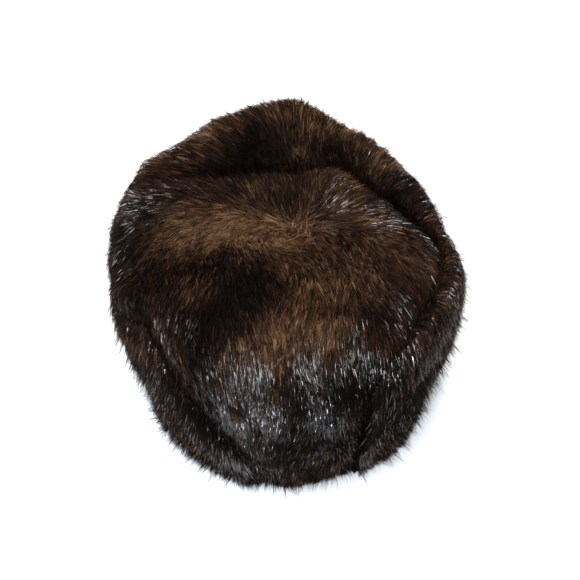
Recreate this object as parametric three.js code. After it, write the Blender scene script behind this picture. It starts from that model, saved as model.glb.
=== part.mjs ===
// A deep fur hat: a domed crown that reaches down to the rim at the back, and a fur cuff turned up round its
// front and both sides. Millimetres, +Z up, +Y towards the front of the hat, with the flat rim on z = 0.
import * as THREE from 'three';
import { mergeVertices } from 'three/addons/utils/BufferGeometryUtils.js';

// Driving sizes
const headWidth = 168;
const headDepth = 195;
const crownHeight = 155;
const furReach = 40;
const domeFullness = 2.3;
const gap = 0.8;

// The whorl on top, from which the fur lies outwards
const whorlRight = 7;
const whorlBehind = 16;

// The crown's wall, fur and skin together, which is as thick as the foot's reach at the rim
const wallAtLip = 13;
const wallAtTop = 14;
const cavityLipShare = 0.88;

// The cuff's round top, as shares of the way up and across
const cuffFullness = 2.4;
const bulgeAt = 0.68;
const crestAcross = 0.62;
const leastCrestWidth = 2;

// The bottom of the fold between the crown and the cuff, below the crown's lip and the cuff's crest
const foldAt = 0.84;
const foldUnderCrest = 9;

// Fur locks, which stand out of each piece's backing
const lockHeight = 3;
const hollowOfLock = 0.3;
const rampOfLock = [0.1, 0.6, 1.0];
const columnsPerLock = 2;
const whorlRadius = 34;
const freeColumns = 2;

// Points nearer to each other than this are one point
const samePoint = 1e-6;

// Resolution
const columns = 72;
const skirtRows = 11;
const domeRows = 12;
const foldRows = 6;
const cavitySideRows = 6;
const cavityDomeRows = 6;

// The crown's lip round the hat, from which the dome rises. Angles run in degrees from the right side towards
// the front. A foot and a lip are shares of furReach outside the head opening, a height is a share of
// crownHeight, and a tuck is the share of that height at which the wall starts to part from the foot.
const crownCourse = [
  { angle: -90, foot: 0.25, lip: 0.62, height: 0.61, tuck: 0.00 },
  { angle: -63, foot: 0.27, lip: 0.57, height: 0.63, tuck: 0.00 },
  { angle: -52, foot: 0.22, lip: 0.55, height: 0.78, tuck: 0.35 },
  { angle: -30, foot: 0.22, lip: 0.47, height: 0.84, tuck: 0.45 },
  { angle: -8, foot: 0.22, lip: 0.45, height: 0.85, tuck: 0.45 },
  { angle: 14, foot: 0.22, lip: -0.12, height: 0.86, tuck: 0.45 },
  { angle: 34, foot: 0.22, lip: -0.45, height: 0.87, tuck: 0.45 },
  { angle: 52, foot: 0.22, lip: -0.38, height: 0.87, tuck: 0.45 },
  { angle: 80, foot: 0.22, lip: -0.92, height: 0.87, tuck: 0.42 },
  { angle: 100, foot: 0.22, lip: -0.92, height: 0.87, tuck: 0.42 },
  { angle: 124, foot: 0.22, lip: -0.70, height: 0.87, tuck: 0.45 },
  { angle: 131, foot: 0.22, lip: -0.60, height: 0.87, tuck: 0.55 },
  { angle: 138, foot: 0.22, lip: -0.38, height: 0.87, tuck: 0.63 },
  { angle: 144, foot: 0.22, lip: -0.12, height: 0.87, tuck: 0.60 },
  { angle: 150, foot: 0.22, lip: 0.28, height: 0.86, tuck: 0.49 },
  { angle: 156, foot: 0.22, lip: 0.86, height: 0.84, tuck: 0.47 },
  { angle: 162, foot: 0.22, lip: 1.02, height: 0.81, tuck: 0.48 },
  { angle: 170, foot: 0.22, lip: 1.00, height: 0.77, tuck: 0.50 },
  { angle: 180, foot: 0.22, lip: 0.93, height: 0.74, tuck: 0.50 },
  { angle: 198, foot: 0.22, lip: 0.80, height: 0.75, tuck: 0.48 },
  { angle: 216, foot: 0.22, lip: 0.50, height: 0.82, tuck: 0.45 },
  { angle: 236, foot: 0.22, lip: 0.55, height: 0.70, tuck: 0.20 },
  { angle: 258, foot: 0.25, lip: 0.60, height: 0.62, tuck: 0.00 },
  { angle: 270, foot: 0.25, lip: 0.62, height: 0.61, tuck: 0.00 },
];

// The cuff from its right end over the front to its left end. A crest is a share of crownHeight, a bulge and
// a foot are shares of furReach outside the head opening, and a thickness is the share kept towards an end.
const cuffCourse = [
  { angle: -60, crest: 0.70, bulge: 0.72, foot: 0.36, thickness: 0.50 },
  { angle: -55, crest: 0.82, bulge: 0.78, foot: 0.38, thickness: 0.88 },
  { angle: -42, crest: 0.90, bulge: 0.86, foot: 0.57, thickness: 1.00 },
  { angle: -18, crest: 0.93, bulge: 0.98, foot: 0.60, thickness: 1.00 },
  { angle: 2, crest: 0.93, bulge: 0.67, foot: 0.56, thickness: 1.00 },
  { angle: 28, crest: 0.96, bulge: 0.57, foot: 0.50, thickness: 1.00 },
  { angle: 58, crest: 1.01, bulge: 0.51, foot: 0.52, thickness: 1.00 },
  { angle: 88, crest: 1.09, bulge: 0.80, foot: 0.62, thickness: 1.00 },
  { angle: 116, crest: 1.04, bulge: 0.84, foot: 0.62, thickness: 1.00 },
  { angle: 138, crest: 0.99, bulge: 0.80, foot: 0.62, thickness: 1.00 },
  { angle: 149, crest: 0.95, bulge: 1.08, foot: 0.63, thickness: 1.00 },
  { angle: 156, crest: 0.88, bulge: 1.06, foot: 0.62, thickness: 1.00 },
  { angle: 163, crest: 0.74, bulge: 0.89, foot: 0.60, thickness: 1.00 },
  { angle: 180, crest: 0.66, bulge: 0.74, foot: 0.58, thickness: 1.00 },
  { angle: 198, crest: 0.68, bulge: 0.58, foot: 0.50, thickness: 1.00 },
  { angle: 215, crest: 0.80, bulge: 0.70, foot: 0.48, thickness: 1.00 },
  { angle: 233, crest: 0.55, bulge: 0.60, foot: 0.34, thickness: 0.90 },
  { angle: 246, crest: 0.39, bulge: 0.56, foot: 0.28, thickness: 0.75 },
  { angle: 256, crest: 0.27, bulge: 0.50, foot: 0.28, thickness: 0.50 },
];

const fullTurn = 360;
const step = fullTurn / columns;
const toRadians = Math.PI / 180;
const whorl = new THREE.Vector2(whorlRight, -whorlBehind);
const { lerp, smoothstep, clamp, euclideanModulo } = THREE.MathUtils;

// A column of a table at an angle, by a smooth curve that doesn't overshoot its rows.
function atAngle(table, column, angle) {
  const first = table[0].angle;
  const last = table[table.length - 1].angle;
  const isWholeTurn = last - first === fullTurn;
  const within = isWholeTurn ? euclideanModulo(angle - first, fullTurn) + first : clamp(angle, first, last);
  const row = Math.max(table.findIndex((entry) => entry.angle >= within), 1);
  const [from, to] = [table[row - 1], table[row]];
  return lerp(from[column], to[column], smoothstep(within, from.angle, to.angle));
}

// A point at a distance outside the head opening's oval.
function beyondHead(angle, distance, z) {
  const x = (headWidth / 2 + distance) * Math.cos(angle * toRadians);
  const y = (headDepth / 2 + distance) * Math.sin(angle * toRadians);
  return new THREE.Vector3(x, y, z);
}

// The crown's lip at an angle, in millimetres.
function lipAt(angle) {
  return {
    foot: atAngle(crownCourse, 'foot', angle) * furReach,
    lip: atAngle(crownCourse, 'lip', angle) * furReach,
    height: atAngle(crownCourse, 'height', angle) * crownHeight,
    tuck: atAngle(crownCourse, 'tuck', angle),
  };
}

// How far the crown's flat-faced side stands outside the head opening at a height up to its lip.
function crownReach(angle, z) {
  const { foot, lip, height, tuck } = lipAt(angle);
  const reachAtRow = (row) => lerp(foot, lip, smoothstep(row / skirtRows, tuck, 1));
  const at = z / height * skirtRows;
  const row = Math.min(Math.floor(at), skirtRows - 1);
  return lerp(reachAtRow(row), reachAtRow(row + 1), at - row);
}

// A point of a dome between a lip and the top over the whorl. A share of 0 is at the lip and one of 1 on top.
function domePoint(lipPoint, top, share) {
  const turn = share * Math.PI / 2;
  const reach = share === 1 ? 0 : Math.cos(turn) ** (2 / domeFullness);
  const rise = Math.sin(turn) ** (2 / domeFullness);
  return new THREE.Vector3(
    lerp(whorl.x, lipPoint.x, reach), lerp(whorl.y, lipPoint.y, reach), lerp(lipPoint.z, top, rise));
}

// How far a lock stands out at a column and a row, counted the way the fur lies: outwards and then down.
function lockRelief(column, row) {
  const lock = Math.floor(row / rampOfLock.length);
  const across = (column + lock) % columnsPerLock === 0 ? 1 : hollowOfLock;
  return lockHeight * across * rampOfLock[row % rampOfLock.length];
}

// The direction away from the middle of the hat's hollow.
function outwards(point) {
  return new THREE.Vector3(point.x, point.y, Math.max(point.z - crownHeight / 2, 0)).normalize();
}

function raised(point, relief) {
  return point.clone().addScaledVector(outwards(point), relief);
}

// How freely locks stand out from the crown's side, from 0 behind the cuff to 1 clear of both its ends.
function freeSide(angle) {
  const rightEnd = cuffCourse[0].angle;
  const leftEnd = cuffCourse[cuffCourse.length - 1].angle;
  const pastRightEnd = euclideanModulo(rightEnd - angle, fullTurn);
  const pastLeftEnd = euclideanModulo(angle - leftEnd, fullTurn);
  const openBack = fullTurn - (leftEnd - rightEnd);
  if (pastRightEnd > openBack) return 0;
  return smoothstep(Math.min(pastRightEnd, pastLeftEnd), 0, freeColumns * step);
}

// The crown's section at a column: outer points from the rim to the whorl, and fewer inner points likewise.
function crownSection(column) {
  const angle = column * step;
  const { foot, lip, height } = lipAt(angle);
  const outer = [];
  const inner = [];
  for (let row = 0; row < skirtRows; row += 1) {
    const z = row / skirtRows * height;
    const relief = row === 0 ? 0 : lockRelief(column, skirtRows + domeRows - row) * freeSide(angle);
    outer.push(beyondHead(angle, crownReach(angle, z) + relief, z));
  }
  const outerLip = beyondHead(angle, lip, height);
  for (let row = 0; row <= domeRows; row += 1) {
    const point = domePoint(outerLip, crownHeight, row / domeRows);
    const fromWhorl = Math.hypot(point.x - whorl.x, point.y - whorl.y);
    const relief = lockRelief(column, domeRows - row) * smoothstep(fromWhorl, 0, whorlRadius);
    outer.push(raised(point, row === 0 ? relief * freeSide(angle) : relief));
  }
  for (let row = 0; row < cavitySideRows; row += 1) {
    const share = row / cavitySideRows;
    const reach = crownReach(angle, share * height) - lerp(foot, wallAtLip, share);
    inner.push(beyondHead(angle, reach, share * height * cavityLipShare));
  }
  const innerLip = beyondHead(angle, lip - wallAtLip, height * cavityLipShare);
  for (let row = 0; row <= cavityDomeRows; row += 1) {
    inner.push(domePoint(innerLip, crownHeight - wallAtTop, row / cavityDomeRows));
  }
  return { outer, inner };
}

// The cuff's section at a column: outer points from the rim to the crest, and inner points likewise.
function cuffSection(column) {
  const angle = column * step;
  const lipHeight = lipAt(angle).height;
  const crest = atAngle(cuffCourse, 'crest', angle) * crownHeight;
  const thickness = atAngle(cuffCourse, 'thickness', angle);
  const fold = Math.min(lipHeight * foldAt, crest - foldUnderCrest);
  const foldReach = crownReach(angle, fold) + gap;
  const clearReach = (z) => {
    const room = gap + lockHeight * smoothstep(z, fold, lipHeight);
    return crownReach(angle, Math.min(z, lipHeight)) + room;
  };
  const wantedBulge = lerp(foldReach, atAngle(cuffCourse, 'bulge', angle) * furReach, thickness);
  const footReach = lerp(foldReach, atAngle(cuffCourse, 'foot', angle) * furReach, thickness);
  const crestReach = Math.max(lerp(foldReach, wantedBulge, crestAcross), clearReach(crest));
  const bulgeReach = Math.max(wantedBulge, crestReach + leastCrestWidth);
  const bulge = crest * bulgeAt;
  const crownRowsBelowFold = Math.floor(fold / lipHeight * skirtRows);
  const foldedRows = skirtRows - crownRowsBelowFold;
  const outer = [];
  const inner = [];
  for (let row = 0; row < skirtRows; row += 1) {
    const share = row / skirtRows;
    const relief = row === 0 ? 0 : lockRelief(column, skirtRows + foldRows - row);
    const outerReach = lerp(footReach, bulgeReach, smoothstep(share, 0, 1)) + relief;
    outer.push(beyondHead(angle, outerReach, share * bulge));
    const crownRowHeight = Math.min(row, crownRowsBelowFold) / skirtRows * lipHeight;
    const foldedShare = Math.max(row - crownRowsBelowFold, 0) / foldedRows;
    const innerZ = lerp(crownRowHeight, fold, foldedShare);
    inner.push(beyondHead(angle, crownReach(angle, innerZ) + gap, innerZ));
  }
  for (let row = 0; row <= foldRows; row += 1) {
    const turn = row / foldRows * Math.PI / 2;
    const across = row === foldRows ? 0 : Math.cos(turn) ** (2 / cuffFullness);
    const rise = Math.sin(turn) ** (2 / cuffFullness);
    const innerZ = lerp(fold, crest, rise);
    const innerReach = Math.max(lerp(crestReach, foldReach, across), clearReach(innerZ));
    const outerPoint = beyondHead(angle, lerp(crestReach, bulgeReach, across), lerp(bulge, crest, rise));
    outer.push(raised(outerPoint, lockRelief(column, foldRows - row)));
    inner.push(beyondHead(angle, innerReach, innerZ + lockRelief(column, row) * rise));
  }
  return { outer, inner };
}

// A closed body through sections. A dome's sections meet in one point, and open ones are capped at both ends.
function bodyThrough(sections, { isDome }) {
  const triangles = [];
  const addTriangle = (a, b, c) => {
    const isFlat = [[a, b], [b, c], [c, a]].some(([from, to]) => from.distanceTo(to) < samePoint);
    if (!isFlat) triangles.push(a, b, c);
  };
  const addQuad = (a, b, c, d) => {
    addTriangle(a, b, c);
    addTriangle(a, c, d);
  };
  const addCap = ({ outer, inner }, isLast) => {
    for (let row = 0; row < outer.length - 1; row += 1) {
      const corners = [inner[row], outer[row], outer[row + 1], inner[row + 1]];
      addQuad(...(isLast ? corners.reverse() : corners));
    }
  };
  const lastPair = isDome ? sections.length : sections.length - 1;
  for (let column = 0; column < lastPair; column += 1) {
    const here = sections[column];
    const next = sections[(column + 1) % sections.length];
    for (let row = 0; row < here.outer.length - 1; row += 1) {
      addQuad(here.outer[row], next.outer[row], next.outer[row + 1], here.outer[row + 1]);
    }
    for (let row = 0; row < here.inner.length - 1; row += 1) {
      addQuad(here.inner[row], here.inner[row + 1], next.inner[row + 1], next.inner[row]);
    }
    addQuad(here.inner[0], next.inner[0], next.outer[0], here.outer[0]);
    if (!isDome) addQuad(here.outer.at(-1), next.outer.at(-1), next.inner.at(-1), here.inner.at(-1));
  }
  if (!isDome) {
    addCap(sections[0], false);
    addCap(sections[sections.length - 1], true);
  }
  return mergeVertices(new THREE.BufferGeometry().setFromPoints(triangles));
}

function toMesh(name, geometry, look) {
  geometry.computeVertexNormals();
  const mesh = new THREE.Mesh(geometry, new THREE.MeshStandardMaterial(look));
  mesh.name = name;
  return mesh;
}

const crownSections = Array.from({ length: columns }, (_, column) => crownSection(column));
const firstColumn = Math.round(cuffCourse[0].angle / step);
const lastColumn = Math.round(cuffCourse[cuffCourse.length - 1].angle / step);
const cuffSections = [];
for (let column = firstColumn; column <= lastColumn; column += 1) cuffSections.push(cuffSection(column));

const group = new THREE.Group();
group.add(toMesh('crown', bodyThrough(crownSections, { isDome: true }), {
  color: 0x2f2018, roughness: 0.62, metalness: 0,
}));
group.add(toMesh('cuff', bodyThrough(cuffSections, { isDome: false }), {
  color: 0x281b15, roughness: 0.6, metalness: 0,
}));

// The middle of the hat's bounds stands over the origin.
const middle = new THREE.Box3().setFromObject(group).getCenter(new THREE.Vector3());
group.children.forEach((mesh) => mesh.geometry.translate(-middle.x, -middle.y, 0));

export default group;
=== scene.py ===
"""A deep fur hat: hairs in many shades of brown, over the crown and its turned-up cuff."""

import math

import bpy
import numpy as np
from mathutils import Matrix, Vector
from mathutils.kdtree import KDTree


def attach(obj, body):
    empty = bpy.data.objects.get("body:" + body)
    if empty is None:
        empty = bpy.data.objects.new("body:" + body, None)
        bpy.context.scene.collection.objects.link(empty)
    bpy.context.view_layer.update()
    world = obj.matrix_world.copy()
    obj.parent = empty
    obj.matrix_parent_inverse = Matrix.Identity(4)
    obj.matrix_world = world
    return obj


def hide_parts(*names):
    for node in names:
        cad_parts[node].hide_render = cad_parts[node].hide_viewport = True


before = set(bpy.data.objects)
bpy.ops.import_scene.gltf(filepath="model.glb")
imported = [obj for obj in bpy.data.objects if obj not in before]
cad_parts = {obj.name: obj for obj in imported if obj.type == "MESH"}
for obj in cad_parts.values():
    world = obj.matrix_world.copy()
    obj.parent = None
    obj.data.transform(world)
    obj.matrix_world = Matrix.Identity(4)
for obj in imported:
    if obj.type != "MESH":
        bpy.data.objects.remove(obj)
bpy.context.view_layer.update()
rng = np.random.default_rng(7)

# Sizes in millimetres and shares of them, as in the solids
HEAD_WIDTH, HEAD_DEPTH = 168.0, 195.0
CROWN_HEIGHT = 155.0
FUR_REACH = 40.0
DOME_FULLNESS = 2.3
GAP = 0.8
WHORL = np.array([7.0, -16.0])
WALL_AT_LIP, WALL_AT_TOP = 13.0, 14.0
CAVITY_LIP_SHARE = 0.88
CUFF_FULLNESS = 2.4
BULGE_AT = 0.68
CREST_ACROSS = 0.62
LEAST_CREST_WIDTH = 2.0
FOLD_AT = 0.84
FOLD_UNDER_CREST = 9.0
LOCK_HEIGHT = 3.0
MIDDLE = np.array([-2.67, 3.94, 0.0])  # the hat's middle, from the head's middle
CUFF_START, CUFF_STOP = -60.0, 255.0
MM = 0.001

# How deep the pelt and the hairs' roots lie under the solids' surface, in millimetres, and at most how much of
# the way to the middle of the wall
PELT_DEPTH = 4.5
CROWN_PELT_SHARE, CUFF_PELT_SHARE = 0.8, 0.5
ROOT_DEPTH, END_ROOT_DEPTH = 5.5, 3.0
ROOT_SHARE = 0.7
# How far along its outer surface the cuff's middle reaches, and the angle between a pelt's points, in degrees
CUFF_SPINE_UP_TO = 1.35
SHELL_STEP = 2.5

# How many hairs, and in how many meshes
CROWN_HAIRS, CROWN_MESHES = 180000, 3
CUFF_HAIRS, CUFF_MESHES = 123000, 2
END_HAIRS = 4500

# One hair: its length, half its width and its least height over the floor in millimetres, its middle's width as
# a share of its root's, and the degrees that it rolls about its length
HAIR_LENGTH = 12.5
LENGTH_SHARE = (0.8, 1.15)
HALF_WIDTH = (0.10, 0.175)
MIDDLE_WIDTH = 1.05
ROLL = 30
LOWEST = 0.4

# How steeply hairs lean from upright, in degrees, below their middles and above them
LEAN = {"crown": (36, 73), "cuff": (36, 73), "end": (22, 52)}

# How hairs, clumps and tufts differ: degrees of turn and lean, and shade, where 0 is the darkest and 1 the
# lightest. A clump and a tuft have about so many hairs
HAIR_TURN, HAIR_LEAN, HAIR_SHADE = 4, 5, 0.25
CLUMP_TURN, CLUMP_LEAN, CLUMP_SHADE = 3.5, 3, 0.045
CLUMP_LENGTH = (0.85, 1.12)
CLUMP_SIZE, TUFT_SIZE = 26, 7
TUFT_SHADE = 0.13

# How far the tips and middles of a clump's hairs are drawn together, and how near they have to lie
PULL = (0.0, 0.25)
PULL_OF_GUARDS = 0.3
PULL_OF_MIDDLES = 0.35
PULL_WITHIN = 16

# Guard hairs are longer and stand up more. Stray hairs do so still more, and are dark. Glossy hairs are wider
GUARD_SHARE, GUARD_LENGTH, GUARD_RISE = 0.08, 1.2, 10
STRAY_SHARE, STRAY_LENGTH, STRAY_RISE = 0.035, 1.5, (12, 24)
STRAY_WIDTH, STRAY_SHADE = 1.15, 0.2
GLOSSY_WIDTH, GLOSSY_SHARE = 1.6, 0.72

# Past a sheet's edge the surface falls away by this share
PAST_EDGE_DROP = 0.6
# What would hang over the rim stays at the rim, and stands out by this share instead
RIM_STAND_OUT = 0.25
# The least length of a sheet's steps along and across, and the most of a turn that a hair goes across
LEAST_ALONG, LEAST_ACROSS, MOST_ACROSS = 8, 0.05, 40

# The fur's own waves of turn, in degrees, with their lengths in millimetres
LONG_WAVE, LONG_WAVE_TURN = 70, 9
SHORT_WAVE, SHORT_WAVE_TURN = 24, 4

# Turns of the fur in degrees: at the cuff's ends, round the whorl, and at random in the whorl's middle
END_TURN, END_TURN_WITHIN = 45.0, 9
WHORL_TURN, WHORL_TURN_REACH = 30, 12
WHORL_SCATTER, WHORL_SCATTER_REACH = 150, 15

# The crown's lip round the hat: angle, foot, lip, height, tuck, as in the solids
CROWN = np.array([
    (-90, 0.25, 0.62, 0.61, 0.00),
    (-63, 0.27, 0.57, 0.63, 0.00),
    (-52, 0.22, 0.55, 0.78, 0.35),
    (-30, 0.22, 0.47, 0.84, 0.45),
    (-8, 0.22, 0.45, 0.85, 0.45),
    (14, 0.22, -0.12, 0.86, 0.45),
    (34, 0.22, -0.45, 0.87, 0.45),
    (52, 0.22, -0.38, 0.87, 0.45),
    (80, 0.22, -0.92, 0.87, 0.42),
    (100, 0.22, -0.92, 0.87, 0.42),
    (124, 0.22, -0.70, 0.87, 0.45),
    (131, 0.22, -0.60, 0.87, 0.55),
    (138, 0.22, -0.38, 0.87, 0.63),
    (144, 0.22, -0.12, 0.87, 0.60),
    (150, 0.22, 0.28, 0.86, 0.49),
    (156, 0.22, 0.86, 0.84, 0.47),
    (162, 0.22, 1.02, 0.81, 0.48),
    (170, 0.22, 1.00, 0.77, 0.50),
    (180, 0.22, 0.93, 0.74, 0.50),
    (198, 0.22, 0.80, 0.75, 0.48),
    (216, 0.22, 0.50, 0.82, 0.45),
    (236, 0.22, 0.55, 0.70, 0.20),
    (258, 0.25, 0.60, 0.62, 0.00),
    (270, 0.25, 0.62, 0.61, 0.00),
])

# The cuff from its right end to its left end: angle, crest, bulge, foot, thickness, as in the solids
CUFF = np.array([
    (-60, 0.70, 0.72, 0.36, 0.50),
    (-55, 0.82, 0.78, 0.38, 0.88),
    (-42, 0.90, 0.86, 0.57, 1.00),
    (-18, 0.93, 0.98, 0.60, 1.00),
    (2, 0.93, 0.67, 0.56, 1.00),
    (28, 0.96, 0.57, 0.50, 1.00),
    (58, 1.01, 0.51, 0.52, 1.00),
    (88, 1.09, 0.80, 0.62, 1.00),
    (116, 1.04, 0.84, 0.62, 1.00),
    (138, 0.99, 0.80, 0.62, 1.00),
    (149, 0.95, 1.08, 0.63, 1.00),
    (156, 0.88, 1.06, 0.62, 1.00),
    (163, 0.74, 0.89, 0.60, 1.00),
    (180, 0.66, 0.74, 0.58, 1.00),
    (198, 0.68, 0.58, 0.50, 1.00),
    (215, 0.80, 0.70, 0.48, 1.00),
    (233, 0.55, 0.60, 0.34, 0.90),
    (246, 0.39, 0.56, 0.28, 0.75),
    (256, 0.27, 0.50, 0.28, 0.50),
])


def smooth(x, low, high):
    t = np.clip((x - low) / (high - low), 0.0, 1.0)
    return t * t * (3 - 2 * t)


def mix(a, b, share):
    return a + (b - a) * share


def quarter(share, fullness):
    """How far across and up a rounded quarter turn has come."""
    turn = np.clip(share, 0, 1) * math.pi / 2
    return (np.clip(f(turn), 0, 1) ** (2 / fullness) for f in (np.cos, np.sin))


def at_angle(table, column, angle):
    """A column of a table at angles in degrees, smooth between its rows."""
    if table[-1, 0] - table[0, 0] == 360:
        angle = np.mod(angle - table[0, 0], 360) + table[0, 0]
    angle = np.clip(angle, table[0, 0], table[-1, 0])
    row = np.clip(np.searchsorted(table[:, 0], angle), 1, len(table) - 1)
    share = smooth(angle, table[row - 1, 0], table[row, 0])
    return mix(table[row - 1, column], table[row, column], share)


def beyond_head(angle, reach, z):
    """A point at a height, a reach outside the head's oval."""
    turn = np.radians(angle)
    x = (HEAD_WIDTH / 2 + reach) * np.cos(turn)
    y = (HEAD_DEPTH / 2 + reach) * np.sin(turn)
    return np.stack(np.broadcast_arrays(x, y, z), -1)


def lip_at(angle):
    """The crown's reach at the rim and at its lip, the lip's height, and how high up the lip starts."""
    foot, lip = (at_angle(CROWN, k, angle) * FUR_REACH for k in (1, 2))
    return foot, lip, at_angle(CROWN, 3, angle) * CROWN_HEIGHT, at_angle(CROWN, 4, angle)


def crown_reach(angle, z):
    """The crown's reach outside the head's oval at a height under its lip."""
    foot, lip, height, tuck = lip_at(angle)
    return mix(foot, lip, smooth(z / height, tuck, 1.0))


def dome(lip_point, top, share):
    """From the crown's lip at 0 up to the whorl at 1."""
    reach, rise = quarter(share, DOME_FULLNESS)
    plan = WHORL + (lip_point[..., :2] - WHORL) * reach[..., None]
    z = mix(lip_point[..., 2], top, rise)
    return np.concatenate([plan, z[..., None]], -1)


def crown_outside(angle, s):
    """The crown's outer surface: s runs from 0 at the rim to 1 at the lip and 2 at the whorl."""
    _, lip, height, _ = lip_at(angle)
    z = np.clip(s, 0, 1) * height
    side = beyond_head(angle, crown_reach(angle, z), z)
    top = dome(beyond_head(angle, lip, height), CROWN_HEIGHT, s - 1)
    return np.where((s <= 1)[..., None], side, top)


def crown_inside(angle, s):
    """The crown's inner surface, with s as outside."""
    foot, lip, height, _ = lip_at(angle)
    share = np.clip(s, 0, 1)
    reach = crown_reach(angle, share * height) - mix(foot, WALL_AT_LIP, share)
    side = beyond_head(angle, reach, share * height * CAVITY_LIP_SHARE)
    lip_point = beyond_head(angle, lip - WALL_AT_LIP, height * CAVITY_LIP_SHARE)
    top = dome(lip_point, CROWN_HEIGHT - WALL_AT_TOP, s - 1)
    return np.where((s <= 1)[..., None], side, top)


def clear_of_crown(angle, z, fold, lip_height):
    """The least reach of the cuff at a height, so that it clears the crown and its locks."""
    return crown_reach(angle, np.minimum(z, lip_height)) + GAP + LOCK_HEIGHT * smooth(z, fold, lip_height)


def cuff_sizes(angle):
    """The heights of lip, crest and fold, and the reach at the fold, the crest, the bulge and the foot."""
    lip_height = lip_at(angle)[2]
    crest = at_angle(CUFF, 1, angle) * CROWN_HEIGHT
    thickness = at_angle(CUFF, 4, angle)
    fold = np.minimum(lip_height * FOLD_AT, crest - FOLD_UNDER_CREST)
    fold_reach = crown_reach(angle, fold) + GAP
    clear = clear_of_crown(angle, crest, fold, lip_height)
    bulge = mix(fold_reach, at_angle(CUFF, 2, angle) * FUR_REACH, thickness)
    foot = mix(fold_reach, at_angle(CUFF, 3, angle) * FUR_REACH, thickness)
    crest_reach = np.maximum(mix(fold_reach, bulge, CREST_ACROSS), clear)
    bulge = np.maximum(bulge, crest_reach + LEAST_CREST_WIDTH)
    return lip_height, crest, fold, fold_reach, crest_reach, bulge, foot


def cuff_surface(angle, s):
    """The cuff: s is 0 at the outer rim, 1 at the bulge, 2 at the crest, 3 in the fold, 4 at the inner rim."""
    lip_height, crest, fold, fold_reach, crest_reach, bulge, foot = cuff_sizes(angle)
    bulge_z = crest * BULGE_AT
    low = np.clip(s, 0, 1)
    outer = beyond_head(angle, mix(foot, bulge, smooth(low, 0, 1)), low * bulge_z)
    across, rise = quarter(s - 1, CUFF_FULLNESS)
    top = beyond_head(angle, mix(crest_reach, bulge, across), mix(bulge_z, crest, rise))
    across, rise = quarter(3 - s, CUFF_FULLNESS)
    z = mix(fold, crest, rise)
    clear = clear_of_crown(angle, z, fold, lip_height)
    slope = beyond_head(angle, np.maximum(mix(crest_reach, fold_reach, across), clear), z)
    z = np.clip(4 - s, 0, 1) * fold
    hidden = beyond_head(angle, crown_reach(angle, z) + GAP, z)
    return np.select([(s <= k)[..., None] for k in (1, 2, 3)], [outer, top, slope], hidden)


def unit(v):
    return v / (np.linalg.norm(v, axis=-1, keepdims=True) + 1e-9)


def wrap(a):
    """Angles brought to between -90 and 270 degrees."""
    return np.mod(a + 90, 360) - 90


class Sheet:
    """A surface on a grid, with its normals and the way its fur lies, which is towards lower s."""

    def __init__(self, surface, across, along, side=1.0, loop=False):
        self.a, self.s, self.loop = across, along, loop
        a, s = np.meshgrid(across, along, indexing="ij")
        p = surface(a, s)
        da = np.gradient(p, across, axis=0)
        ds = np.gradient(p, along, axis=1)
        n = np.cross(da, ds) * side
        self.area = np.linalg.norm(n, axis=-1)
        n = n / (self.area[..., None] + 1e-9)
        self.data = np.concatenate([p, n, da, ds], -1)

    def at(self, a, s):
        """Points, normals and the steps for one more of a and of s, between the grid's own points."""
        i = np.clip(np.interp(a, self.a, np.arange(len(self.a))), 0, len(self.a) - 1.001)
        j = np.clip(np.interp(s, self.s, np.arange(len(self.s))), 0, len(self.s) - 1.001)
        i0, j0 = i.astype(int), j.astype(int)
        u, v = (i - i0)[:, None], (j - j0)[:, None]
        d = self.data
        low = mix(d[i0, j0], d[i0 + 1, j0], u)
        high = mix(d[i0, j0 + 1], d[i0 + 1, j0 + 1], u)
        m = mix(low, high, v)
        point, normal, step = m[:, :3], unit(m[:, 3:6]), m[:, 6:9]
        past = (a - np.clip(a, self.a[0], self.a[-1]))[:, None] * step
        point = point + past - normal * np.linalg.norm(past, axis=-1, keepdims=True) * PAST_EDGE_DROP
        return point, normal, step, m[:, 9:12]

    def scatter(self, count, density):
        """Seeded places on the sheet, even by area but for the density."""
        a, s = np.meshgrid(self.a, self.s, indexing="ij")
        weight = (self.area * density(a, s))[:-1, :-1]
        weight *= np.diff(self.a)[:, None] * np.diff(self.s)[None, :]
        total = np.cumsum(weight.ravel())
        cell = np.searchsorted(total, rng.random(count) * total[-1])
        i, j = np.unravel_index(np.minimum(cell, weight.size - 1), weight.shape)
        angle = mix(self.a[i], self.a[i + 1], rng.random(count))
        return angle, mix(self.s[j], self.s[j + 1], rng.random(count))


def noise(points, scale, seed, waves=12):
    """A smooth field in space, about one unit high, whose waves are about as long as the scale."""
    r = np.random.default_rng(seed)
    k = unit(r.normal(size=(waves, 3))) * r.uniform(0.6, 1.5, (waves, 1)) * 2 * math.pi / scale
    return np.sin(points @ k.T + r.uniform(0, 2 * math.pi, waves)).sum(1) / math.sqrt(waves / 2)


def towards(points, spine, depth, share):
    """Steps from points towards a spine, by a depth in millimetres or at most a share of the way."""
    step = spine - points
    way = np.linalg.norm(step, axis=-1, keepdims=True) + 1e-9
    return step / way * np.minimum(depth, way * share)


def crown_spine(a, s):
    """The middle of the crown's wall."""
    return (crown_outside(a, s) + crown_inside(a, s)) / 2


def cuff_spine(a, s):
    """The middle of the cuff, no higher than a little under its crest."""
    t = np.minimum(np.where(s < 2, s, 4 - s), CUFF_SPINE_UP_TO)
    return (cuff_surface(a, t) + cuff_surface(a, 4 - t)) / 2


def place(points):
    """Millimetres about the head's middle to metres in the frame."""
    return (points - MIDDLE) * MM


def material(name, colour, roughness, level=0.5, sheen=0.0):
    m = bpy.data.materials.new(name)
    m.use_nodes = True
    s = m.node_tree.nodes["Principled BSDF"]
    s.inputs["Base Color"].default_value = (*colour, 1.0)
    s.inputs["Roughness"].default_value = roughness
    s.inputs["Specular IOR Level"].default_value = level
    s.inputs["Sheen Weight"].default_value = sheen
    return m


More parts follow.
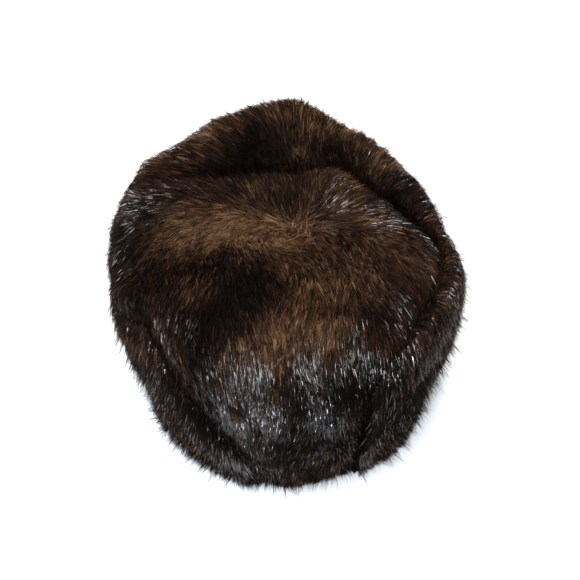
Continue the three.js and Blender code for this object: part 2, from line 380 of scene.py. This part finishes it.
# The colours of hairs from dark to light, and of glossy guard hairs
SHADES = [
    (0.0035, 0.0022, 0.0018),
    (0.0070, 0.0038, 0.0026),
    (0.0130, 0.0066, 0.0040),
    (0.0220, 0.0108, 0.0060),
    (0.0360, 0.0172, 0.0090),
    (0.0560, 0.0264, 0.0126),
    (0.0860, 0.0412, 0.0190),
    (0.1320, 0.0660, 0.0310),
    (0.2120, 0.1180, 0.0620),
]
GLOSSY = [(0.0040, 0.0034, 0.0034), (0.0130, 0.0075, 0.0055), (0.0400, 0.0210, 0.0120)]
HAIR = [material(f"hair_{k}", c, 0.75, 0.02) for k, c in enumerate(SHADES)]
HAIR += [material(f"guard_hair_{k}", c, 0.27, 0.90) for k, c in enumerate(GLOSSY)]
PELT = material("pelt", (0.011, 0.0068, 0.0050), 0.9, 0.1)
SUEDE = material("suede", (0.055, 0.036, 0.026), 0.85, 0.25)

# Lighter and darker places in the fur, partly its own tone and partly painted light and shade: x, y, z and
# radius in millimetres in the frame, and how much lighter
TONE_AND_LIGHT_SPOTS = [
    # on top, round the whorl: the fur's own golden and dark tone, and painted shade just in front of the whorl
    (18, 6, 156, 20, -0.14),
    (-24, -24, 155, 20, 0.40),
    (-4, -22, 155, 20, 0.34),
    (14, -27, 155, 16, 0.24),
    (6, -4, 156, 12, -0.14),
    (-44, -18, 153, 20, 0.34),
    (-68, -12, 151, 22, 0.40),
    (2, 8, 155, 18, -0.16),
    (-8, -72, 150, 16, -0.16),
    (-20, -58, 152, 20, -0.46),
    (-34, -47, 153, 20, -0.22),
    (-38, -74, 147, 24, -0.26),
    (-55, -92, 134, 20, -0.20),
    (-3, -94, 143, 14, 0.18),
    (-6, -103, 137, 18, 0.16),
    (24, -103, 136, 18, 0.20),
    (-50, -104, 118, 18, -0.14),
    (18, -119, 118, 12, -0.30),
    (-34, -103, 132, 16, 0.14),
    (44, -79, 146, 18, 0.12),
    (62, -84, 143, 20, -0.36),
    (90, -80, 140, 16, -0.18),
    (62, 0, 151, 14, 0.08),
    (-50, 14, 153, 18, -0.20),
    (52, 18, 152, 12, -0.16),
    (-28, -14, 155, 14, 0.18),
    (-14, -42, 154, 13, -0.18),
    (32, -90, 141, 14, 0.16),
    (60, -84, 142, 12, -0.10),
    (-26, -93, 141, 13, -0.12),
    (-46, -88, 139, 16, -0.30),
    (-48, -100, 127, 14, -0.22),
    (86, -5, 147, 12, -0.28),
    # along the crown's front edge and its left shoulder
    (-60, 24, 153, 16, -0.06),
    (-36, 26, 154, 18, -0.16),
    (-7, 25, 154, 20, -0.18),
    (30, 22, 154, 16, -0.12),
    (48, 28, 152, 14, 0.10),
    (-80, 34, 148, 16, -0.26),
    (-98, 12, 143, 20, -0.30),
    (-102, -14, 138, 18, -0.20),
    (-91, -40, 140, 26, -0.26),
    (-88, -66, 132, 22, -0.22),
    (-112, -27, 126, 20, -0.12),
    # the fold and the roll in front of it: painted shade in the fold, and painted light on the roll's lit face
    (-19, 68, 141, 26, -0.66),
    (36, 74, 147, 14, -0.40),
    (84, 33, 147, 24, -0.30),
    (-39, 66, 147, 16, -0.20),
    (-18, 75, 153, 14, -0.45),
    (14, 72, 151, 12, 0.30),
    (66, 60, 150, 12, 0.28),
    (-46, 82, 159, 18, 0.20),
    (-22, 84, 162, 18, 0.14),
    (47, 81, 157, 18, 0.16),
    (92, -37, 143, 14, 0.14),
    # down the back: painted shade in the hollows, and the fur's own tone
    (6, -120, 119, 16, -0.40),
    (41, -115, 111, 16, -0.56),
    (74, -105, 97, 26, -0.44),
    (93, -91, 79, 22, -0.26),
    (77, -99, 59, 22, -0.36),
    (12, -123, 67, 18, -0.50),
    (4, -119, 43, 14, -0.36),
    (46, -108, 48, 16, -0.36),
    (-43, -110, 58, 18, -0.34),
    (-59, -105, 68, 24, -0.30),
    (-75, -93, 84, 24, -0.34),
    (-18, -123, 95, 22, 0.12),
]
BASE_SHADE = 0.43

# Where the glossy guard hairs lie thick or thin: x, y, z and radius in millimetres in the frame, and how much
# likelier they are
SHEEN = [
    (-101, -6, 139, 24, 0.60),
    (-97, 18, 143, 20, 0.34),
    (-71, -90, 122, 16, 0.30),
    (-86, -80, 77, 20, 0.30),
    (-30, -115, 119, 18, 0.58),
    (-12, -116, 122, 16, 0.58),
    (13, -114, 126, 12, 0.46),
    (30, -111, 125, 13, 0.46),
    (44, -107, 127, 16, 0.62),
    (-38, -116, 98, 20, 0.50),
    (-22, -120, 88, 22, 0.50),
    (-10, -122, 104, 20, 0.40),
    (18, -124, 106, 16, 0.60),
    (5, -127, 92, 16, 0.50),
    (32, -119, 88, 18, 0.50),
    (-26, -116, 28, 26, 0.50),
    (53, -103, 20, 18, 0.28),
    (30, -112, 50, 14, 0.20),
    (73, -106, 125, 18, 0.50),
    (97, -70, 140, 24, 0.26),
    (104, -83, 100, 26, 0.24),
    (74, 0, 149, 16, 0.60),
    (96, -24, 142, 14, 0.40),
    (24, -96, 141, 18, 0.14),
    (-32, -38, 154, 14, 0.50),
    (-52, -36, 152, 14, 0.24),
    (34, 2, 154, 12, 0.30),
    (40, -38, 152, 14, 0.26),
    (78, -60, 147, 14, 0.30),
    (10, -100, 140, 12, 0.20),
    (-2, -18, 155, 40, -0.09),
    (-10, 24, 154, 40, -0.12),
    (0, -60, 150, 36, -0.06),
    (10, 84, 155, 60, -0.10),
    (-20, 66, 142, 30, -0.20),
]
BASE_SHEEN = 0.13
# How far a spot of either table spreads, as a share of its radius
SPOT_SPREAD = 0.7

# Waves of shade and of gloss: how strong, how long in millimetres, and seed
SHADE_WAVES = [(0.06, 42, 91), (0.05, 15, 92)]
GLOSS_UNEVEN, GLOSS_WAVE, GLOSS_SEED = 0.5, 22, 93
# Painted shade: the fur is darker towards the rim, where the lower sides turn away from the light: from this
# height to that one, in millimetres, by this much
RIM_SHADE_FROM, RIM_SHADE_TO, RIM_SHADE_BY = 118, 50, 0.22
# Fur in a dark place is less glossy, and glossy fur has a darker ground, painted shade between its glints
SHEEN_BY_PATCH, LEAST_SHEEN = 1.2, 0.15
GROUND_FROM, GROUND_BY, GROUND_WITHIN = 0.3, 0.30, 0.5
# A hair's root is darker than its tip, painted shade deep in the fur, and a glossy hair is lighter
ROOT_PAINTED_SHADE, GLOSSY_LIGHTER = 0.32, 0.1

# How far the fur is combed back from straight out of the whorl: angle round the hat, and degrees of turn
COMBED = np.array([
    (-90, 0.0),
    (-70, -8.0),
    (-45, -22.0),
    (-10, -44.0),
    (15, -42.0),
    (45, -18.0),
    (75, 0.0),
    (120, 0.0),
    (150, 16.0),
    (180, 40.0),
    (212, 60.0),
    (240, 44.0),
    (270, 0.0),
])
# The same for the cuff, over its crest
ROLL_COMBED = np.array([
    (-60, 0.0),
    (80, 0.0),
    (105, 26.0),
    (130, 38.0),
    (155, 34.0),
    (175, 10.0),
    (255, 0.0),
])


def mesh_of(name, points, faces, slots, rounded=True):
    """A mesh from arrays of points and of faces."""
    mesh = bpy.data.meshes.new(name)
    mesh.from_pydata(points.tolist(), [], faces)
    for m in slots:
        mesh.materials.append(m)
    if rounded:
        mesh.shade_smooth()
    mesh.update()
    return link(name, mesh)


def link(name, data):
    obj = bpy.data.objects.new(name, data)
    bpy.context.scene.collection.objects.link(obj)
    return obj


def grid_faces(columns, rows, loop):
    """Faces between the columns of a grid, each of which has the same number of rows."""
    faces = []
    for i in range(columns if loop else columns - 1):
        j = (i + 1) % columns
        for k in range(rows - 1):
            faces.append((i * rows + k, j * rows + k, j * rows + k + 1, i * rows + k + 1))
    return faces


def crown_shell():
    """The crown's skin: the pelt under the hairs outside, and suede inside, joined at the rim."""
    angles = np.arange(0, 360, SHELL_STEP)
    rows = np.concatenate([np.linspace(0, 1, 17), 1 + np.linspace(0.05, 0.985, 20)])
    a, s = np.meshgrid(angles, rows, indexing="ij")
    outside = crown_outside(a, s)
    outside = outside + towards(outside, crown_spine(a, s), PELT_DEPTH, CROWN_PELT_SHARE)
    outside[:, 0, 2] = 0
    inside = crown_inside(a, s[:, ::-1])
    inside[:, -1, 2] = 0
    poles = [(*WHORL, CROWN_HEIGHT - PELT_DEPTH), (*WHORL, CROWN_HEIGHT - WALL_AT_TOP)]
    points = np.concatenate([outside.reshape(-1, 3), inside.reshape(-1, 3), poles])
    n, m = len(angles), len(rows)
    outer = grid_faces(n, m, loop=True)
    inner = [tuple(n * m + v for v in f) for f in outer]
    for i in range(n):
        j = (i + 1) % n
        outer.append((i * m + m - 1, j * m + m - 1, 2 * n * m))
        inner.append((n * m + j * m, n * m + i * m, 2 * n * m + 1))
        inner.append((n * m + i * m + m - 1, n * m + j * m + m - 1, j * m, i * m))
    obj = mesh_of("crown_pelt", place(points), outer + inner, [PELT, SUEDE])
    slots = np.repeat([0, 1], [len(outer), len(inner)]).astype(np.int32)
    obj.data.polygons.foreach_set("material_index", slots)
    return obj


def cuff_shell():
    """The cuff's pelt under the hairs, closed at the rim and at both ends."""
    angles = np.arange(CUFF_START, CUFF_STOP + SHELL_STEP / 2, SHELL_STEP)
    rows = np.concatenate([np.linspace(0, 1, 12), np.linspace(1.1, 3, 20), np.linspace(3.1, 4, 8)])
    a, s = np.meshgrid(angles, rows, indexing="ij")
    p = cuff_surface(a, s)
    p = p + towards(p, cuff_spine(a, s), PELT_DEPTH, CUFF_PELT_SHARE) * smooth(s, 3.2, 2.9)[..., None]
    p[:, 0, 2] = 0
    n, m = len(angles), len(rows)
    faces = grid_faces(n, m, loop=False)
    for i in range(n - 1):
        faces.append((i * m + m - 1, (i + 1) * m + m - 1, (i + 1) * m, i * m))
    faces.append(tuple(range(m)))
    faces.append(tuple(range(n * m - 1, (n - 1) * m - 1, -1)))
    return mesh_of("cuff_pelt", place(p.reshape(-1, 3)), faces, [PELT], rounded=False)


def grouped(r, points, size):
    """Points picked at random, one for each group of the size, and which of them is nearest to each point."""
    picked = r.choice(len(points), max(1, int(len(points) / size)), replace=False)
    tree = KDTree(len(picked))
    for k, i in enumerate(picked):
        tree.insert(points[i], k)
    tree.balance()
    return picked, np.array([tree.find(q)[1] for q in points])


def charted(spots, points, base):
    """A base value and what a chart's soft spots add to it at the points."""
    total = np.full(len(points), base)
    for x, y, z, radius, more in spots:
        total += more * np.exp(-((points - (x, y, z)) ** 2).sum(1) / (2 * (radius * SPOT_SPREAD) ** 2))
    return total


def hair_path(sheet, spine, a, s, turn, length, *leans):
    """The roots, middles and tips of hairs, each with the sheet's normal there."""
    root, normal, da, ds = sheet.at(a, s)
    inward = towards(root, spine(a, s), ROOT_DEPTH, ROOT_SHARE) if spine else -normal * END_ROOT_DEPTH
    spots = [(root + inward, normal)]
    height = -np.linalg.norm(inward, axis=-1)
    turn = np.radians(turn)
    for lean in np.radians(leans):
        go = length * 0.5 * np.sin(lean)
        height = height + length * 0.5 * np.cos(lean)
        s = s - go * np.cos(turn) / np.maximum(np.linalg.norm(ds, axis=-1), LEAST_ALONG)
        across = go * np.sin(turn) / np.maximum(np.linalg.norm(da, axis=-1), LEAST_ACROSS)
        a = a + np.clip(across, -MOST_ACROSS, MOST_ACROSS)
        over = np.maximum(sheet.s[0] - s, 0) * np.linalg.norm(ds, axis=-1)
        s = np.maximum(s, sheet.s[0])
        q, normal, da, ds = sheet.at(wrap(a) if sheet.loop else a, s)
        spots.append((q + normal * (height + over * RIM_STAND_OUT)[:, None], normal))
    return spots


def comb(sheet, spine, a, s, kind, seed):
    """Ribbon hairs from roots at (a, s), with their shades and which of them are glossy.

    Each has five corners: two at the root, two halfway and one at the tip.
    """
    r = np.random.default_rng(seed)
    n = len(a)
    p = sheet.at(a, s)[0]
    leaders, clump = grouped(r, p, CLUMP_SIZE)
    tufts, tuft = grouped(r, p, TUFT_SIZE)
    tuft_shade = r.normal(0, TUFT_SHADE, len(tufts))
    clump_turn = r.normal(0, CLUMP_TURN, len(leaders))
    clump_lean = r.normal(0, CLUMP_LEAN, len(leaders))
    clump_shade = r.normal(0, CLUMP_SHADE, len(leaders))
    clump_long = r.uniform(*CLUMP_LENGTH, len(leaders))
    guard = r.random(n) < GUARD_SHARE
    stray = r.random(n) < STRAY_SHARE

    low, high = LEAN[kind]
    length = HAIR_LENGTH * clump_long[clump] * r.uniform(*LENGTH_SHARE, n)
    length = length * np.where(guard, GUARD_LENGTH, 1.0) * np.where(stray, STRAY_LENGTH, 1.0)
    lie = LONG_WAVE_TURN * noise(p, LONG_WAVE, seed + 1) + SHORT_WAVE_TURN * noise(p, SHORT_WAVE, seed + 2)
    turn = lie + clump_turn[clump] + r.normal(0, HAIR_TURN, n)
    lean_low = low + clump_lean[clump] + r.normal(0, HAIR_LEAN, n) - np.where(stray, STRAY_RISE[0], 0)
    lean_high = high + clump_lean[clump] + r.normal(0, HAIR_LEAN, n)
    lean_high = lean_high - np.where(guard, GUARD_RISE, 0) - np.where(stray, STRAY_RISE[1], 0)
    if kind == "crown":
        combed = at_angle(COMBED, 1, a) * smooth(s, 0.7, 1.05)
        lie, turn = lie + combed, turn + combed
        from_whorl = np.hypot(p[:, 0] - WHORL[0], p[:, 1] - WHORL[1])
        turn = turn + np.exp(-from_whorl / WHORL_TURN_REACH) * WHORL_TURN
        turn = turn + smooth(from_whorl, WHORL_SCATTER_REACH, 0) * r.uniform(-WHORL_SCATTER, WHORL_SCATTER, n)
    elif kind == "cuff":
        combed = at_angle(ROLL_COMBED, 1, a) * smooth(s, 1.0, 2.0)
        lie, turn = lie + combed, turn + combed
        start = smooth(a, CUFF_START + END_TURN_WITHIN, CUFF_START)
        stop = smooth(a, CUFF_STOP - END_TURN_WITHIN, CUFF_STOP)
        turn = turn + END_TURN * (stop - start)
    else:
        turn = turn + END_TURN

    (root, _), (middle, normal), (tip, _) = hair_path(sheet, spine, a, s, turn, length, lean_low, lean_high)
    _, (lead_middle, _), (lead_tip, _) = hair_path(
        sheet, spine, a[leaders], s[leaders], lie[leaders] + clump_turn, HAIR_LENGTH * clump_long,
        low + clump_lean, high + clump_lean)
    pull = r.uniform(*PULL, n) * np.where(guard, PULL_OF_GUARDS, 1.0)
    pull = (pull * (np.linalg.norm(tip - lead_tip[clump], axis=-1) < PULL_WITHIN))[:, None]
    tip = mix(tip, lead_tip[clump], pull)
    middle = mix(middle, lead_middle[clump], pull * PULL_OF_MIDDLES)
    for q in (root, middle, tip):
        q[:, 2] = np.maximum(q[:, 2], LOWEST)

    along = unit(tip - root)
    sideways = unit(np.cross(normal, along))
    upwards = unit(np.cross(along, sideways))
    roll = np.radians(r.normal(0, ROLL, n))[:, None]
    across = sideways * np.cos(roll) + upwards * np.sin(roll)

    shade = BASE_SHADE + clump_shade[clump] + tuft_shade[tuft] + r.normal(0, HAIR_SHADE, n)
    for much, wave, field in SHADE_WAVES:
        shade = shade + much * noise(middle, wave, field)
    # Painted shade, darker towards the rim
    shade -= RIM_SHADE_BY * smooth(middle[:, 2], RIM_SHADE_FROM, RIM_SHADE_TO)
    shade = np.where(stray, np.minimum(shade, STRAY_SHADE), shade)
    # The spots add the fur's own tone together with painted light and shade
    tone_and_light = charted(TONE_AND_LIGHT_SPOTS, middle - MIDDLE, 0.0)
    sheen = charted(SHEEN, middle - MIDDLE, BASE_SHEEN) * np.clip(1 + SHEEN_BY_PATCH * tone_and_light, LEAST_SHEEN, 1)
    # Painted shade: the ground under glossy fur is darkened between its glints
    shade = shade + tone_and_light - GROUND_BY * np.clip(sheen - GROUND_FROM, 0, GROUND_WITHIN)
    uneven = 1 + GLOSS_UNEVEN * noise(middle, GLOSS_WAVE, GLOSS_SEED)
    glossy = (r.random(n) < GLOSSY_SHARE * sheen * uneven) & ~stray

    half = r.uniform(*HALF_WIDTH, n) * np.where(stray, STRAY_WIDTH, 1.0) * np.where(glossy, GLOSSY_WIDTH, 1.0)
    half = across * half[:, None]
    wide = half * MIDDLE_WIDTH
    return np.stack([root - half, root + half, middle - wide, middle + wide, tip], 1), shade, glossy


def tones(shade, glossy):
    """The material slots of each hair's two faces, the one at the root and the one at the tip."""
    last = len(SHADES) - 1
    shade = np.where(glossy, np.clip(shade + GLOSSY_LIGHTER, 0.01, 0.99), shade)
    # The root face is darker, painted shade deep in the fur
    root, tip = (np.clip(np.round((shade - darker) * last), 0, last) for darker in (ROOT_PAINTED_SHADE, 0))
    gloss = len(SHADES) + np.clip(shade * len(GLOSSY), 0, len(GLOSSY) - 1).astype(int)
    return np.stack([root, np.where(glossy, gloss, tip)], 1)


def hair_mesh(name, rings, shade, glossy):
    """Hairs as one mesh: each is a quad from root to middle and a triangle to the tip."""
    corners, starts = np.array([0, 1, 3, 2, 2, 3, 4]), np.array([0, 4])
    hairs = np.arange(len(rings))[:, None]
    mesh = bpy.data.meshes.new(name)
    mesh.vertices.add(rings.shape[0] * rings.shape[1])
    mesh.vertices.foreach_set("co", place(rings).astype(np.float32).ravel())
    mesh.loops.add(len(rings) * len(corners))
    mesh.loops.foreach_set("vertex_index", (hairs * rings.shape[1] + corners).astype(np.int32).ravel())
    mesh.polygons.add(len(rings) * len(starts))
    mesh.polygons.foreach_set("loop_start", (hairs * len(corners) + starts).astype(np.int32).ravel())
    for m in HAIR:
        mesh.materials.append(m)
    mesh.polygons.foreach_set("material_index", tones(shade, glossy).astype(np.int32).ravel())
    mesh.update(calc_edges=True)
    mesh.shade_smooth()
    return link(name, mesh)


def hair_meshes(node, hairs, count):
    """A node's hairs shared out over a number of meshes, each given with the node's name."""
    shares = zip(*(np.array_split(q, count) for q in hairs))
    return [(node, hair_mesh(f"{node}_fur_{k + 1}", *share)) for k, share in enumerate(shares)]


def crown_density(a, s):
    """Hair only where the crown shows: over the cuff's crest, out of the fold, and at the open back."""
    angle = wrap(a)
    lip_height, crest, fold, *_ = cuff_sizes(np.clip(angle, CUFF_START, CUFF_STOP))
    top = np.minimum(crest, fold) / lip_height
    covered = smooth(angle, CUFF_START - 2, CUFF_START + 6) * smooth(angle, CUFF_STOP + 2, CUFF_STOP - 6)
    return mix(1.0, smooth(s, top - 0.16, top - 0.04), covered)


def cuff_density(a, s):
    """Hair down into the fold and no further, and thinner on the front's outer face."""
    hidden = smooth(a, 10, 40) * smooth(a, 150, 130) * smooth(s, 1.0, 0.7)
    return (1 - 0.25 * hidden) * smooth(s, 3.02, 2.98)


def end_density(a, s):
    """Hair all over the cuff's ends."""
    return np.ones_like(s)


def end_face(angle):
    """The cuff's end as a sheet: from its outer side at 0 to its inner side at 1, with s up to the crest."""
    def surface(t, s):
        a = np.full_like(s, angle)
        return mix(cuff_surface(a, s), cuff_surface(a, 4 - s), t[..., None])
    return surface


def crown_hairs():
    """The hairs of the crown, on a sheet that overlaps itself a little at the back."""
    along = np.concatenate([np.linspace(0.0, 1, 41), 1 + np.linspace(0.02, 0.992, 60)])
    sheet = Sheet(crown_outside, np.arange(-92, 272.1, 1.0), along, loop=True)
    a, s = sheet.scatter(CROWN_HAIRS, crown_density)
    return comb(sheet, crown_spine, wrap(a), s, "crown", 11)


def cuff_hairs():
    """The hairs of the cuff and of its two ends, in a shuffled order."""
    sheet = Sheet(cuff_surface, np.arange(CUFF_START, CUFF_STOP + 0.1, 1.0), np.linspace(0.0, 3.1, 125))
    parts = [comb(sheet, cuff_spine, *sheet.scatter(CUFF_HAIRS, cuff_density), "cuff", 23)]
    for angle, side, seed in ((CUFF_START, 1.0, 31), (CUFF_STOP, -1.0, 32)):
        sheet = Sheet(end_face(angle), np.linspace(0.0, 1.0, 15), np.linspace(0.0, 1.97, 60), side)
        parts.append(comb(sheet, None, *sheet.scatter(END_HAIRS, end_density), "end", seed))
    hairs = [np.concatenate(q) for q in zip(*parts)]
    order = np.random.default_rng(5).permutation(len(hairs[0]))
    return [q[order] for q in hairs]


made = [("crown", crown_shell()), ("cuff", cuff_shell())]
made += hair_meshes("crown", crown_hairs(), CROWN_MESHES)
made += hair_meshes("cuff", cuff_hairs(), CUFF_MESHES)
for node, obj in made:
    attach(obj, "root")
    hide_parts(node)

# Floor, light and camera
scene = bpy.context.scene
bpy.ops.mesh.primitive_plane_add(size=12)
floor = bpy.context.object
floor.name = "floor"
floor.data.materials.append(material("floor", (0.86, 0.86, 0.86), 0.9, 0.1))

world = bpy.data.worlds.new("studio")
scene.world = world
world.use_nodes = True
background = world.node_tree.nodes["Background"]
background.inputs["Color"].default_value = (0.95, 0.97, 1.0, 1.0)
background.inputs["Strength"].default_value = 0.13


def lamp(name, where, size, power, colour):
    """A round lamp that shines on the middle of the hat."""
    data = bpy.data.lights.new(name, "AREA")
    data.shape = "DISK"
    data.size = size
    data.energy = power
    data.color = colour
    obj = link(name, data)
    obj.location = where
    obj.rotation_euler = (Vector((0, 0, 0.08)) - Vector(where)).to_track_quat("-Z", "Y").to_euler()


lamp("top", (-0.1, 0.1, 1.8), 1.2, 52, (1.0, 0.985, 0.96))
lamp("window", (-0.7, -1.5, 0.95), 0.6, 50, (0.87, 0.93, 1.0))
lamp("left", (-1.5, 0.0, 1.0), 0.5, 17, (0.78, 0.89, 1.0))
lamp("right", (1.5, -0.3, 1.0), 0.5, 12, (0.85, 0.92, 1.0))

camera = link("camera", bpy.data.cameras.new("camera"))
camera.location = (0.00567, -0.44641, 0.5577)
camera.rotation_euler = (math.radians(43), 0, 0)
camera.data.lens = 55.86
camera.data.sensor_width = 36
camera.data.clip_start = 0.02
scene.camera = camera
scene.view_settings.view_transform = "Standard"
